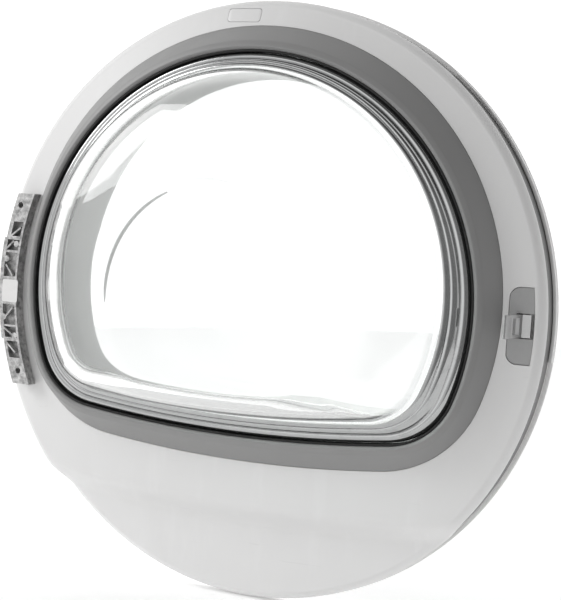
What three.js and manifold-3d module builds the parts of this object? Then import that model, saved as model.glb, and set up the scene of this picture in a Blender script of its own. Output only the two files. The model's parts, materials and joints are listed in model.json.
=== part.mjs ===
// Porthole door of a front-loading washing machine: the round frame with its D-shaped
// glass bowl, the hinge that carries it and the sprung hook that holds it shut.
//
// Millimetres, +Z up. The drum side of the door faces +Y and its front faces -Y.
// The hinge is at +X and the hook at -X. Every piece is drawn about the door's centre,
// and the whole door is then moved so that the origin is on the hinge's mounting face.

import * as THREE from 'three';
import { mergeVertices } from 'three/addons/utils/BufferGeometryUtils.js';
import { ParametricGeometry } from 'three/addons/geometries/ParametricGeometry.js';
import Module from 'manifold-3d';

const wasm = await Module();
wasm.setup();

// ---------------------------------------------------------------- driving dimensions

const RIM = 240;              // outer radius of the door
const STEPS = 60;             // facets round a ring

// Window outlines: a round crown, two round lower corners and a long shallow sill.
const FOOT = { crown: 208.6, crownZ: 10.3, corner: 89.7, sill: 1053, sillZ: -125.7 };
const LIP = { crown: 192.2, crownZ: 6.5, corner: 58.1, sill: 1072, sillZ: -104.4 };
const WINDOW = { crown: 171.1, crownZ: 14.6, corner: 46.3, sill: 992, sillZ: -87.3 };
const PLATEAU = { crown: 104, crownZ: 4, corner: 58, sill: 620, sillZ: -68 };

// Rear frame: a sloped face that ends in a rolled bead.
const FACE_FOOT_Y = 12.4;     // face height beside the collar
const FACE_EDGE_Y = 7.4;      // face height where the bead starts
const FACE_EDGE = 233.5;      // radius where the bead starts
const SKIN = 2.6;             // wall thickness of the mouldings
const BEAD_BACK_Y = -3.2;     // front edge of the bead

// The patch at the top of the rear frame, and the slot beside the hinge.
const PLUG = { x: [6, 35], z: [222, 232.6], corner: 2.5 };
const SLOT = { x: [212.6, 222], z: [24.5, 45.5] };

// Chin: the lower part of the rear frame steps towards the front.
const CHIN_DROP = 14.4;
const CHIN_Z = -162;          // height of the step's upper line, at the middle
const CHIN_RISE = 11;         // how far that line rises at the rim
const CHIN_RAMP = 20;         // height of the sloped step

// Front frame, edge band and cover.
const WALL = 233.5;           // outer radius of the front frame's wall
const WALL_TOP_Y = -6;
const FLANGE = 237.4;
const FLANGE_BACK_Y = -21.3;
const FLANGE_FRONT_Y = -23.3;
const BAND = 238;
const BAND_INNER = 234.3;
const BAND_TOP_Y = -4.2;
const COVER_BACK_Y = -23.8;
const COVER = 241;
const COVER_DEPTH = 20;       // from the cover's back edge to its crown
const COVER_THICK = 3;

// Posts for the screws between the rear frame, front frame and cover, in degrees.
const POST_CIRCLE = 226.6;
const POST_RADIUS = 3.6;
const POST_BORE = 1.6;
const POST_FOOT_Y = -20.6;
const FRAME_POSTS = [52, 118, 238, 302];
const COVER_POSTS = [30, 90, 150, 210, 270, 330];

// White border behind the clear cover, and the crescent that the fingers pull.
const BORDER = { outer: 216.5, thick: 1.6 };
const GRIP = { from: 128, to: 186, width: 2.4, tip: 0.5, topY: -19.6 };

// Glass bowl.
const GLASS_SEAT_Y = 14.8;
const GLASS_FLANGE = 5;
const GLASS_RIM_Y = 38.5;
const BOWL_DEPTH = 46;        // from the rim bead to the plateau
const GLASS_WALL = 5;

// Hinge: a cast base on the cabinet, two pins, and an arm inside the door.
const PIVOT_X = 222;
const PIVOT_Y = -13;
const BASE_INNER = 214.3;
const BASE_OUTER = 229.4;
const BASE_PROUD = 231.4;     // outer radius of the middle stretch
const BASE_TOP_Z = 75;
const BASE_LOW_Z = -86;
const BASE_BACK_Y = 22;       // mounting face
const BASE_FRONT_Y = 12;
const BASE_SCREWS = [[214, 65], [208, -75]];
const BASE_SCREW_HOLE = 2.6;
const EAR_RADIUS = 4.5;
const EARS = [[38, 51], [-64.5, -51]];
const KNUCKLES = [[27, 37.5], [-50.5, -40]];
const NOTCHES = [[36.8, 52.2], [-65.7, -49.8]];
const KNUCKLE_RADIUS = 6.4;
const PIN_RADIUS = 2.5;
const PINS = [[26.2, 49.5], [-63, -39.2]];
const BUSH_RADIUS = 3.8;
const ARM_Y = [-11, -7.5];
const ARM_RAIL_Y = -18.5;
const ARM_INNER = 197.5;
const ARM_SCREWS = [[203, 30], [205, 8], [205, -18], [201.5, -44]];
const RUNNING_GAP = 0.1;
const GAP = 0.3;              // between touching pieces
const MOUNT = { x: 219.5, y: BASE_BACK_Y, z: -8 };

// Latch: plate, housing, hook, pin and spring.
const LATCH_X = -222;
const LATCH_PIVOT_Y = -4;
const HOOK_Z = [-6, 11];
const HOOK_TIP_Y = 37;
const HOOK_THICK = 2.4;
const HOOK_PIN_RADIUS = 2;
const SHOULDER = { x: -229.5, y: [4.8, 7.4, 9] };
const HOUSING = { x: [-229.4, -211.6], y: [-20.9, 3], z: [-14, 19] };
const HOUSING_WALL = 2;
const HOUSING_FOOT = 3;
const HOUSING_SCREWS = [[-206.5, -9], [-206.5, 14]];
const PLATE = { inner: 213.4, outer: 232, z: [-26, 31], corner: 8 };

// ------------------------------------------------------------------------- solids

// A closed geometry as a manifold solid, with its faces turned outward.
function solid(geometry) {
  geometry.deleteAttribute('normal');
  geometry.deleteAttribute('uv');
  const merged = mergeVertices(geometry, 1e-3);
  const points = merged.attributes.position;
  const index = merged.index.array;
  const triangles = [];
  for (let i = 0; i < index.length; i += 3) {
    const [a, b, c] = [index[i], index[i + 1], index[i + 2]];
    if (a !== b && b !== c && c !== a) triangles.push(a, b, c);
  }
  const corner = (k) => new THREE.Vector3().fromBufferAttribute(points, k);
  let volume = 0;
  for (let i = 0; i < triangles.length; i += 3) {
    const [a, b, c] = [corner(triangles[i]), corner(triangles[i + 1]), corner(triangles[i + 2])];
    volume += a.dot(b.cross(c));
  }
  if (volume < 0) triangles.reverse();
  return new wasm.Manifold(new wasm.Mesh({
    numProp: 3,
    vertProperties: new Float32Array(points.array),
    triVerts: new Uint32Array(triangles),
  }));
}

function geometryOf(body) {
  const mesh = body.getMesh();
  const geometry = new THREE.BufferGeometry();
  geometry.setAttribute('position', new THREE.BufferAttribute(mesh.vertProperties.slice(), 3));
  geometry.setIndex(new THREE.BufferAttribute(mesh.triVerts.slice(), 1));
  geometry.computeVertexNormals();
  return geometry;
}

const union = (bodies) => bodies.reduce((all, body) => all.add(body));
const without = (body, cutters) => cutters.reduce((rest, cutter) => rest.subtract(cutter), body);

function box([x0, x1], [y0, y1], [z0, z1]) {
  const geometry = new THREE.BoxGeometry(x1 - x0, y1 - y0, z1 - z0);
  geometry.translate((x0 + x1) / 2, (y0 + y1) / 2, (z0 + z1) / 2);
  return solid(geometry);
}

// A round bar along Y.
function barY(radius, [y0, y1], x, z, sides = 20) {
  const geometry = new THREE.CylinderGeometry(radius, radius, y1 - y0, sides);
  geometry.translate(x, (y0 + y1) / 2, z);
  return solid(geometry);
}

// A round bar along Z.
function barZ(radius, [z0, z1], x, y, sides = 24) {
  const geometry = new THREE.CylinderGeometry(radius, radius, z1 - z0, sides);
  geometry.rotateX(Math.PI / 2);
  geometry.translate(x, y, (z0 + z1) / 2);
  return solid(geometry);
}

// A flat shape in X and Z, given depth along Y.
function slabY(shape, [y0, y1], curveSegments = 8) {
  const geometry = new THREE.ExtrudeGeometry(shape, { depth: y1 - y0, bevelEnabled: false, curveSegments });
  geometry.rotateX(Math.PI / 2);
  geometry.translate(0, y1, 0);
  return solid(geometry);
}

// A flat shape in X and Y, given height along Z.
function slabZ(shape, [z0, z1], curveSegments = 8) {
  const geometry = new THREE.ExtrudeGeometry(shape, { depth: z1 - z0, bevelEnabled: false, curveSegments });
  geometry.translate(0, 0, z0);
  return solid(geometry);
}

function polygon(points) {
  return new THREE.Shape(points.map(([x, y]) => new THREE.Vector2(x, y)));
}

function roundedRectangle(x0, x1, z0, z1, radius) {
  const shape = new THREE.Shape();
  shape.moveTo(x0 + radius, z0);
  shape.lineTo(x1 - radius, z0);
  shape.absarc(x1 - radius, z0 + radius, radius, -Math.PI / 2, 0);
  shape.lineTo(x1, z1 - radius);
  shape.absarc(x1 - radius, z1 - radius, radius, 0, Math.PI / 2);
  shape.lineTo(x0 + radius, z1);
  shape.absarc(x0 + radius, z1 - radius, radius, Math.PI / 2, Math.PI);
  shape.lineTo(x0, z0 + radius);
  shape.absarc(x0 + radius, z0 + radius, radius, Math.PI, 1.5 * Math.PI);
  return shape;
}

// ----------------------------------------------------------------- outlines and rings

// Distance from the door's centre to a circle, in the direction (c, s).
function toCircle(c, s, x, z, radius) {
  const along = c * x + s * z;
  return along + Math.sqrt(along * along - x * x - z * z + radius * radius);
}

// Distance from the door's centre to a window outline, moved outward by offset.
function windowReach(outline, offset, angle) {
  const { crownZ } = outline;
  const crown = outline.crown + offset;
  const corner = outline.corner + offset;
  const sill = outline.sill + offset;
  const sillCentre = outline.sillZ + outline.sill;
  const a = crown - corner;
  const b = sill - corner;
  const drop = sillCentre - crownZ;
  const cornerZ = crownZ + (a * a - b * b + drop * drop) / (2 * drop);
  const cornerX = Math.sqrt(a * a - (cornerZ - crownZ) ** 2);
  const [c, s] = [Math.cos(angle), Math.sin(angle)];
  const toCrown = toCircle(c, s, 0, crownZ, crown);
  if (s * toCrown >= crownZ + (cornerZ - crownZ) * crown / a) return toCrown;
  const toSill = toCircle(c, s, 0, sillCentre, sill);
  if (s < 0 && Math.abs(c * toSill) <= cornerX * sill / b) return toSill;
  return toCircle(c, s, Math.sign(c) * cornerX, cornerZ, corner);
}

const round = (radius) => () => radius;
const outline = (shape, offset = 0) => (angle) => windowReach(shape, offset, angle);
const between = (near, far, share) => (angle) => near(angle) * (1 - share) + far(angle) * share;

// A ring whose section is a closed list of [reach, height] pairs. A reach is a function
// of the angle, and a height is a number or a function of the angle.
function ring(section, steps = STEPS) {
  const at = (u, v, target) => {
    const angle = 2 * Math.PI * (Math.round(u * steps) % steps) / steps;
    const [reach, height] = section[Math.round(v * section.length) % section.length];
    const distance = reach(angle);
    const y = typeof height === 'function' ? height(angle) : height;
    target.set(distance * Math.cos(angle), y, distance * Math.sin(angle));
  };
  return solid(new ParametricGeometry(at, steps, section.length));
}

// A closed shell: like a ring, but its first and last points lie on the door's axis.
function dish(section, steps = STEPS) {
  const last = section.length - 1;
  const at = (u, v, target) => {
    const angle = 2 * Math.PI * (Math.round(u * steps) % steps) / steps;
    const [reach, y] = section[Math.round(v * last)];
    const distance = reach(angle);
    target.set(distance * Math.cos(angle), y, distance * Math.sin(angle));
  };
  return solid(new ParametricGeometry(at, steps, last));
}

// ---------------------------------------------------------------------- rear frame

// How far the chin's step has dropped at a point of the face: 0 above it, 1 below it.
function chinShare(x, z) {
  const line = CHIN_Z + CHIN_RISE * (x / 180) ** 2;
  const share = Math.min(1, Math.max(0, (line - z) / CHIN_RAMP));
  return share * share * (3 - 2 * share);
}

const chinAt = (distance, angle) => chinShare(distance * Math.cos(angle), distance * Math.sin(angle));

// Point of the rear face, a share of the way from the collar's foot to the bead.
function facePoint(share, below) {
  const reach = (angle) => {
    const foot = windowReach(FOOT, 0.4, angle);
    return foot + (FACE_EDGE - foot) * share;
  };
  const height = (angle) => {
    const flat = FACE_FOOT_Y + (FACE_EDGE_Y - FACE_FOOT_Y) * share;
    return flat - below - CHIN_DROP * chinAt(reach(angle), angle);
  };
  return [reach, height];
}

// Height of the rear face over a point of the door.
function faceHeight(x, z) {
  const foot = windowReach(FOOT, 0.4, Math.atan2(z, x));
  const share = (Math.hypot(x, z) - foot) / (FACE_EDGE - foot);
  return FACE_FOOT_Y + (FACE_EDGE_Y - FACE_FOOT_Y) * share - CHIN_DROP * chinShare(x, z);
}

// Point of the bead at a fixed radius.
function beadPoint(radius, y) {
  return [round(radius), (angle) => y - CHIN_DROP * chinAt(radius, angle)];
}

function frameSkin(sunk = 0) {
  const shares = [0, 0.25, 0.5, 0.75, 1];
  const bead = [30, 60, 90].map((degrees) => {
    const turn = THREE.MathUtils.degToRad(degrees);
    const radius = FACE_EDGE + (RIM - FACE_EDGE) * Math.sin(turn) ** 1.25;
    return beadPoint(radius, FACE_EDGE_Y * Math.max(0, Math.cos(turn)) ** 1.25 - sunk);
  });
  const back = [
    beadPoint(RIM - 0.6, BEAD_BACK_Y + 0.6 - sunk),
    beadPoint(RIM - 3, BEAD_BACK_Y - sunk),
    beadPoint(RIM - 4.2, BEAD_BACK_Y + 3.4 - sunk),
  ];
  const under = shares.map((share) => facePoint(share, SKIN + sunk)).reverse();
  under[0] = beadPoint(FACE_EDGE - 1, FACE_EDGE_Y - SKIN - sunk);
  return ring([...shares.map((share) => facePoint(share, sunk)), ...bead, ...back, ...under]);
}

// The patch that closes an unused hole at the top of the frame.
function plugPrism(grow) {
  const { x, z, corner } = PLUG;
  const shape = roundedRectangle(x[0] - grow, x[1] + grow, z[0] - grow, z[1] + grow, corner);
  return slabY(shape, [-2, 16], 4);
}

// The latch plate's outline: rounded towards the window, following the rim outside.
function platePrism(grow) {
  const { inner, outer, corner } = PLATE;
  const [z0, z1] = [PLATE.z[0] - grow, PLATE.z[1] + grow];
  const x0 = -inner + grow;
  const radius = outer + grow;
  const shape = new THREE.Shape();
  shape.moveTo(x0 - corner, z0);
  shape.absarc(x0 - corner, z0 + corner, corner, -Math.PI / 2, 0);
  shape.lineTo(x0, z1 - corner);
  shape.absarc(x0 - corner, z1 - corner, corner, 0, Math.PI / 2);
  const start = Math.PI - Math.asin(z1 / radius);
  const end = Math.PI - Math.asin(z0 / radius);
  shape.absarc(0, 0, radius, start, end);
  return slabY(shape, [-2, 16], 4);
}

// Space through the rim that a hinge ear passes as the door turns.
function earNotch([z0, z1], innerX, lowY) {
  return box([innerX, RIM + 5], [lowY, 16], [z0, z1]);
}

function onCircle(degrees, radius = POST_CIRCLE) {
  const angle = THREE.MathUtils.degToRad(degrees);
  return [radius * Math.cos(angle), radius * Math.sin(angle)];
}

function rearFrame() {
  const posts = FRAME_POSTS.map((degrees) => {
    const [x, z] = onCircle(degrees);
    const top = faceHeight(x, z) - SKIN / 2;
    const post = barY(POST_RADIUS, [POST_FOOT_Y, top], x, z, 12);
    return post.subtract(barY(POST_BORE, [POST_FOOT_Y - 1, POST_FOOT_Y + 11], x, z, 8));
  });
  const slot = box(SLOT.x, [0, 16], SLOT.z);
  return without(union([frameSkin(), ...posts]), [
    plugPrism(GAP),
    platePrism(0.4),
    slot,
    ...NOTCHES.map((span) => earNotch(span, PIVOT_X - EAR_RADIUS - 0.9, -8)),
  ]);
}

function blankingPlug() {
  return frameSkin().intersect(plugPrism(0));
}

// ---------------------------------------------------------- collar, gasket and glass

function glassCollar() {
  return ring([
    [outline(FOOT), 9.4],
    [outline(FOOT), 13.1],
    [outline(LIP, 6), 28.9],
    [outline(LIP, 1), 31.1],
    [outline(LIP), 30.2],
    [outline(LIP), 27.2],
    [outline(LIP, 6), 25],
    [outline(FOOT, -4.5), 10.5],
    [outline(FOOT, -4.5), 6],
    [outline(FOOT, 3.4), 6],
    [outline(FOOT, 3.4), 8],
  ]);
}

function glassGasket() {
  return ring([
    [outline(LIP, 2.8), 20.3],
    [outline(LIP, 2.8), 25.8],
    [outline(LIP, -4), 26.6],
    [outline(LIP, -4.6), 20.5],
  ]);
}

// Drum side of the bowl: from the rim bead it climbs and leans in to the plateau.
function bowlPoint(degrees, inset) {
  const turn = THREE.MathUtils.degToRad(degrees);
  const lean = 1 - Math.cos(turn) ** 0.85;
  const reach = between(outline(WINDOW, -2 - inset), outline(PLATEAU, -inset), lean);
  return [reach, GLASS_RIM_Y + BOWL_DEPTH * Math.sin(turn) ** 1.15 - inset];
}

function glassBowl() {
  const top = GLASS_RIM_Y + BOWL_DEPTH;
  const turns = [20, 42, 66, 90];
  const outside = turns.map((degrees) => bowlPoint(degrees, 0)).reverse();
  const inside = turns.map((degrees) => bowlPoint(degrees, GLASS_WALL));
  return dish([
    [round(0), top + 3],
    [outline(PLATEAU, -50), top + 2],
    ...outside,
    [outline(WINDOW, 2), GLASS_RIM_Y],
    [outline(LIP, -8), 27],
    [outline(LIP, -5.6), 20],
    [outline(LIP, 3), GLASS_SEAT_Y + GLASS_FLANGE],
    [outline(LIP, 3), GLASS_SEAT_Y],
    [outline(LIP, -10), GLASS_SEAT_Y],
    [outline(LIP, -13), 20],
    [outline(WINDOW, -2), 31],
    ...inside,
    [outline(PLATEAU, -50), top + 2 - GLASS_WALL],
    [round(0), top + 3 - GLASS_WALL],
  ]);
}

// ------------------------------------------------- front frame, band, cover and grip

function wallTop(angle) {
  return WALL_TOP_Y - 12.8 * chinAt(FACE_EDGE, angle);
}

function frontFrame() {
  const shell = ring([
    [round(WALL), wallTop],
    [round(WALL), FLANGE_BACK_Y],
    [round(FLANGE), FLANGE_BACK_Y],
    [round(FLANGE), FLANGE_FRONT_Y],
    [outline(WINDOW, -1.5), FLANGE_FRONT_Y],
    [outline(WINDOW, -1), -20],
    [outline(WINDOW, 7), -5],
    [outline(LIP, -3.4), GLASS_SEAT_Y - GAP],
    [outline(LIP, 3), GLASS_SEAT_Y - GAP],
    [outline(LIP, 3), 9],
    [outline(WINDOW, 10), -5],
    [outline(WINDOW, 3), -19],
    [outline(WINDOW, 5), FLANGE_BACK_Y],
    [round(WALL - SKIN), FLANGE_BACK_Y],
    [round(WALL - SKIN), wallTop],
  ]);
  const armBosses = ARM_SCREWS.map(([x, z]) => barY(4.6, [FLANGE_FRONT_Y, ARM_Y[0] - GAP], x, z, 12));
  const through = [FLANGE_FRONT_Y - 1, FLANGE_BACK_Y + 1];
  const screwHoles = [
    ...[...FRAME_POSTS, ...COVER_POSTS].map((degrees) => barY(2, through, ...onCircle(degrees), 8)),
    ...ARM_SCREWS.map(([x, z]) => barY(1.8, [FLANGE_BACK_Y, 0], x, z, 10)),
    ...HOUSING_SCREWS.map(([x, z]) => barY(1.8, through, x, z, 10)),
  ];
  return without(union([shell, ...armBosses]), [
    ...screwHoles,
    ...NOTCHES.map((span) => earNotch(span, PIVOT_X - KNUCKLE_RADIUS, FLANGE_BACK_Y - 1.3)),
    box([PIVOT_X - KNUCKLE_RADIUS - 1, PIVOT_X + KNUCKLE_RADIUS + 1], [POST_FOOT_Y, 0],
      [KNUCKLES[1][0] - 0.5, KNUCKLES[0][1] + 0.5]),
  ]);
}

// The band has a gap at each hinge ear, so its stretch between the ears is a piece of its own.
function edgeBands() {
  const top = (angle) => BAND_TOP_Y - CHIN_DROP * chinAt(BAND, angle);
  const band = ring([
    [round(BAND), top],
    [round(BAND), FLANGE_BACK_Y + GAP],
    [round(BAND_INNER), FLANGE_BACK_Y + GAP],
    [round(BAND_INNER), top],
  ]);
  const [upper, lower] = NOTCHES;
  return {
    round: band.subtract(earNotch([lower[0], upper[1]], PIVOT_X, -30)),
    short: band.intersect(earNotch([lower[1], upper[0]], PIVOT_X, -30)),
  };
}

// Front surface of the cover: round at the rim, nearly flat in the middle.
function coverPoint(degrees, inset) {
  const turn = THREE.MathUtils.degToRad(degrees);
  const radius = (COVER - inset) * Math.sin(turn) ** 0.55;
  return [round(radius), COVER_BACK_Y - 2 - (COVER_DEPTH - 2) * Math.cos(turn) ** 1.1 + inset];
}

function frontCover() {
  const turns = [0, 12, 40, 62, 78, 90];
  const outside = turns.map((degrees) => coverPoint(degrees, 0));
  const inside = turns.map((degrees) => coverPoint(degrees, COVER_THICK)).reverse();
  const disc = dish([
    ...outside,
    [round(COVER), COVER_BACK_Y],
    [round(COVER - COVER_THICK), COVER_BACK_Y],
    ...inside.slice(1),
  ]);
  const posts = COVER_POSTS.map((degrees) => {
    const [x, z] = onCircle(degrees);
    const post = barY(POST_RADIUS, [-32, FLANGE_FRONT_Y - GAP], x, z, 10);
    return post.subtract(barY(POST_BORE, [-31, FLANGE_FRONT_Y + 1], x, z, 8));
  });
  return union([disc, ...posts]);
}

// White border behind the clear cover, round the window.
function coverBorder() {
  const [back, front] = [FLANGE_FRONT_Y - GAP, FLANGE_FRONT_Y - GAP - BORDER.thick];
  return ring([
    [outline(WINDOW, -0.5), back],
    [round(BORDER.outer), back],
    [round(BORDER.outer), front],
    [outline(WINDOW, -0.5), front],
  ]);
}

// Crescent behind the cover's rim, on the latch side, that the fingers pull.
function gripLip() {
  const [from, to] = [GRIP.from, GRIP.to].map(THREE.MathUtils.degToRad);
  const outer = COVER - 0.2;
  const steps = 12;
  const shape = new THREE.Shape();
  shape.absarc(0, 0, outer, from, to);
  const inside = [];
  for (let i = steps; i >= 0; i -= 1) {
    const share = i / steps;
    const angle = from + (to - from) * share;
    const radius = outer - GRIP.tip - (GRIP.width - GRIP.tip) * Math.min(1, share * 2);
    inside.push([radius * Math.cos(angle), radius * Math.sin(angle)]);
  }
  inside.forEach(([x, z]) => shape.lineTo(x, z));
  return slabY(shape, [COVER_BACK_Y + GAP, GRIP.topY], 12);
}

// ------------------------------------------------------------------------- hinge

// A stretch of the base's curved band between two heights.
function bandShape(inner, outer, z0, z1) {
  const shape = new THREE.Shape();
  shape.absarc(0, 0, outer, Math.asin(z0 / outer), Math.asin(z1 / outer));
  shape.absarc(0, 0, inner, Math.asin(z1 / inner), Math.asin(z0 / inner), true);
  return shape;
}

function basePocket(z0, z1, floorY) {
  return slabY(bandShape(BASE_INNER + 1.7, BASE_OUTER - 1.5, z0, z1), [floorY, BASE_BACK_Y + 1], 4);
}

// A thin rib across a pocket, from one point of the face to another.
function baseRib([x0, z0], [x1, z1], floorY) {
  const [dx, dz] = [x1 - x0, z1 - z0];
  const length = Math.hypot(dx, dz);
  const geometry = new THREE.BoxGeometry(length, BASE_BACK_Y - floorY, 1.3);
  geometry.rotateY(-Math.atan2(dz, dx));
  geometry.translate((x0 + x1) / 2, (BASE_BACK_Y + floorY) / 2, (z0 + z1) / 2);
  return solid(geometry);
}

// An ear reaches down from the base and ends round about the pivot.
function earShape(topY) {
  const shape = new THREE.Shape();
  shape.moveTo(PIVOT_X + EAR_RADIUS, topY);
  shape.lineTo(PIVOT_X - EAR_RADIUS, topY);
  shape.absarc(PIVOT_X, PIVOT_Y, EAR_RADIUS, Math.PI, 2 * Math.PI);
  return shape;
}

function hingeBase() {
  const [face, back] = [BASE_FRONT_Y, BASE_BACK_Y];
  const bar = union([
    slabY(bandShape(BASE_INNER, BASE_OUTER, BASE_LOW_Z, BASE_TOP_Z), [face, back], 10),
    slabY(bandShape(BASE_INNER + 1, BASE_PROUD, -49, 37), [face, back], 6),
  ]);
  const pockets = [
    slabY(bandShape(BASE_INNER + 2, BASE_OUTER - 3.6, 38.5, 51), [14, back + 1], 4),
    basePocket(26.4, 35.6, 16),
    basePocket(4, 24.6, 17.5),
    basePocket(-36.8, -19.5, 17.5),
    basePocket(-47.6, -38.4, 16),
    slabY(bandShape(BASE_INNER + 2, BASE_OUTER - 2.6, -64.5, -50.5), [15, back + 1], 4),
  ];
  const ribs = [
    baseRib([227, 27], [219, 34.5], 15),
    baseRib([226, 14], [219, 5], 17),
    baseRib([226, -33], [217, -22], 17),
    baseRib([226.4, -39], [213.5, -46.5], 15),
    baseRib([222, 38.8], [213, 46], 13.5),
    baseRib([222.5, -51], [212, -60], 14.5),
  ];
  const bosses = [[216.5, 32, 2.6], [225.6, 19, 2.6], [225.6, -30.5, 2.6], [213.6, -45.6, 2.6]]
    .map(([x, z, radius]) => barY(radius, [15, back], x, z, 10));
  const ears = EARS.map((span) => slabZ(earShape(face + 1.3), span, 8));
  return without(union([without(bar, pockets), ...ribs, ...bosses, ...ears]), [
    ...BASE_SCREWS.map(([x, z]) => barY(BASE_SCREW_HOLE, [face - 1, back + 1], x, z, 16)),
    ...PINS.map(([z0, z1]) => barZ(PIN_RADIUS + RUNNING_GAP, [z0 - 0.2, z1 + 0.2], PIVOT_X, PIVOT_Y, 20)),
  ]);
}

function hingePin([z0, z1]) {
  return barZ(PIN_RADIUS, [z0, z1], PIVOT_X, PIVOT_Y, 20);
}

function hingeBush([z0, z1]) {
  const sleeve = barZ(BUSH_RADIUS, [z0, z1], PIVOT_X, PIVOT_Y, 20);
  return sleeve.subtract(barZ(PIN_RADIUS + RUNNING_GAP, [z0 - 1, z1 + 1], PIVOT_X, PIVOT_Y, 20));
}

function hingeArm() {
  const height = [KNUCKLES[1][0], KNUCKLES[0][1]];
  const leaf = box([ARM_INNER, PIVOT_X - 3], ARM_Y, height);
  const rail = box([PIVOT_X - 8.6, PIVOT_X - 5.4], [ARM_RAIL_Y, ARM_Y[1]], height);
  const gap = box([PIVOT_X - 5.4, PIVOT_X + 10], [-30, 5], [KNUCKLES[1][1], KNUCKLES[0][0]]);
  const knuckles = KNUCKLES.map((span) => barZ(KNUCKLE_RADIUS, span, PIVOT_X, PIVOT_Y, 24));
  const frame = union([leaf, rail, ...knuckles]);
  return without(frame, [
    gap,
    ...KNUCKLES.map(([z0, z1]) => (
      barZ(BUSH_RADIUS + RUNNING_GAP, [z0 - 1, z1 + 1], PIVOT_X, PIVOT_Y, 24))),
    ...ARM_SCREWS.map(([x, z]) => barY(2.2, [-15, 0], x, z, 12)),
  ]);
}

// A screw with a domed head under which its shank starts at headY. Its point faces +Y when
// along is 1 and -Y when along is -1.
function screw([x, z], headY, along, length, { head = 3.4, shank = 1.5 } = {}) {
  const profile = [
    [0, -2.2], [head * 0.6, -1.9], [head, -0.7], [head, 0],
    [shank, 0], [shank, length - 1.5], [0, length],
  ].map(([radius, y]) => new THREE.Vector2(radius, headY + along * y));
  const geometry = new THREE.LatheGeometry(profile, 8);
  geometry.translate(x, 0, z);
  return solid(geometry);
}

// ------------------------------------------------------------------------- latch

function latchPlate() {
  const window = box([LATCH_X - 10.4, LATCH_X + 3.2], [-5, 20], [HOOK_Z[0] - 0.8, HOOK_Z[1] + 0.8]);
  const under = box([-240, -200], [-5, 20], [-40, 40]);
  const skin = frameSkin(0.7).intersect(platePrism(0)).intersect(under);
  return skin.subtract(window);
}

function latchHousing() {
  const { x, y, z } = HOUSING;
  const wall = HOUSING_WALL;
  const block = box(x, y, z);
  const foot = box([x[1] - 0.2, x[1] + 9.6], [y[0], y[0] + HOUSING_FOOT], z);
  const inside = box([x[0] + wall, x[1] - wall], [y[0] + wall, y[1] + 1], [z[0] + wall, z[1] - wall]);
  return without(block.add(foot), [
    inside,
    barZ(HOOK_PIN_RADIUS + RUNNING_GAP, [z[0] - 1, z[1] + 1], LATCH_X, LATCH_PIVOT_Y, 20),
    ...HOUSING_SCREWS.map(([px, pz]) => barY(1.9, [-25, -10], px, pz, 12)),
  ]);
}

function latchPin() {
  return barZ(HOOK_PIN_RADIUS, [HOUSING.z[0] + 0.3, HOUSING.z[1] - 0.3], LATCH_X, LATCH_PIVOT_Y, 20);
}

// The hook: a barrel on the pin, a shoulder that fills the plate's window, and a blade that
// leans towards the glass, with an eye for the lock and a thicker nose.
function latchHook() {
  const rootX = LATCH_X + 0.6;
  const tipX = LATCH_X + 5.6;
  const blade = slabZ(polygon([
    [rootX - HOOK_THICK, LATCH_PIVOT_Y], [rootX, LATCH_PIVOT_Y], [rootX + 0.5, 6],
    [tipX - 1.2, 25], [tipX + 1.4, 30], [tipX - 0.4, HOOK_TIP_Y - 1], [tipX - 2, HOOK_TIP_Y],
    [tipX - HOOK_THICK - 0.6, HOOK_TIP_Y - 0.6], [tipX - HOOK_THICK - 1.4, 26], [rootX - HOOK_THICK, 6],
  ]), HOOK_Z);
  const [low, outerY, innerY] = SHOULDER.y;
  const shoulder = slabZ(polygon([
    [SHOULDER.x, low], [rootX, low], [rootX, innerY], [SHOULDER.x, outerY],
  ]), HOOK_Z);
  const barrel = barZ(4.2, HOOK_Z, LATCH_X, LATCH_PIVOT_Y, 24);
  const bore = barZ(HOOK_PIN_RADIUS + RUNNING_GAP, [HOOK_Z[0] - 1, HOOK_Z[1] + 1], LATCH_X, LATCH_PIVOT_Y, 20);
  const eye = box([LATCH_X - 8, LATCH_X + 14], [13, 23.5], [HOOK_Z[0] + 2.4, HOOK_Z[1] - 2.4]);
  return without(union([blade, shoulder, barrel]), [bore, eye]);
}

function latchSpring() {
  const [z0, z1] = [HOOK_Z[1] + 0.5, HOUSING.z[1] - 2.5];
  const coil = barZ(3.9, [z0, z1], LATCH_X, LATCH_PIVOT_Y, 20);
  return coil.subtract(barZ(HOOK_PIN_RADIUS + 0.4, [z0 - 1, z1 + 1], LATCH_X, LATCH_PIVOT_Y, 20));
}

// ------------------------------------------------------------------------ assembly

const FINISH = {
  white: { color: 0xd9d9d7, roughness: 0.45, metalness: 0 },
  pale: { color: 0xc6c6c4, roughness: 0.4, metalness: 0 },
  grey: { color: 0x8a8b8b, roughness: 0.4, metalness: 0 },
  band: { color: 0x6f7071, roughness: 0.45, metalness: 0 },
  black: { color: 0x141414, roughness: 0.7, metalness: 0 },
  glass: { color: 0xeef2f2, roughness: 0.05, metalness: 0, transparent: true, opacity: 0.35 },
  cast: { color: 0xb9b9b6, roughness: 0.5, metalness: 0.9 },
  steel: { color: 0xa2a3a3, roughness: 0.35, metalness: 0.9 },
  nylon: { color: 0xe6e4dc, roughness: 0.5, metalness: 0 },
};

const door = new THREE.Group();
door.position.set(-MOUNT.x, -MOUNT.y, -MOUNT.z);

function piece(name, body, finish) {
  const mesh = new THREE.Mesh(geometryOf(body), new THREE.MeshStandardMaterial(FINISH[finish]));
  mesh.name = name;
  door.add(mesh);
}

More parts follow.
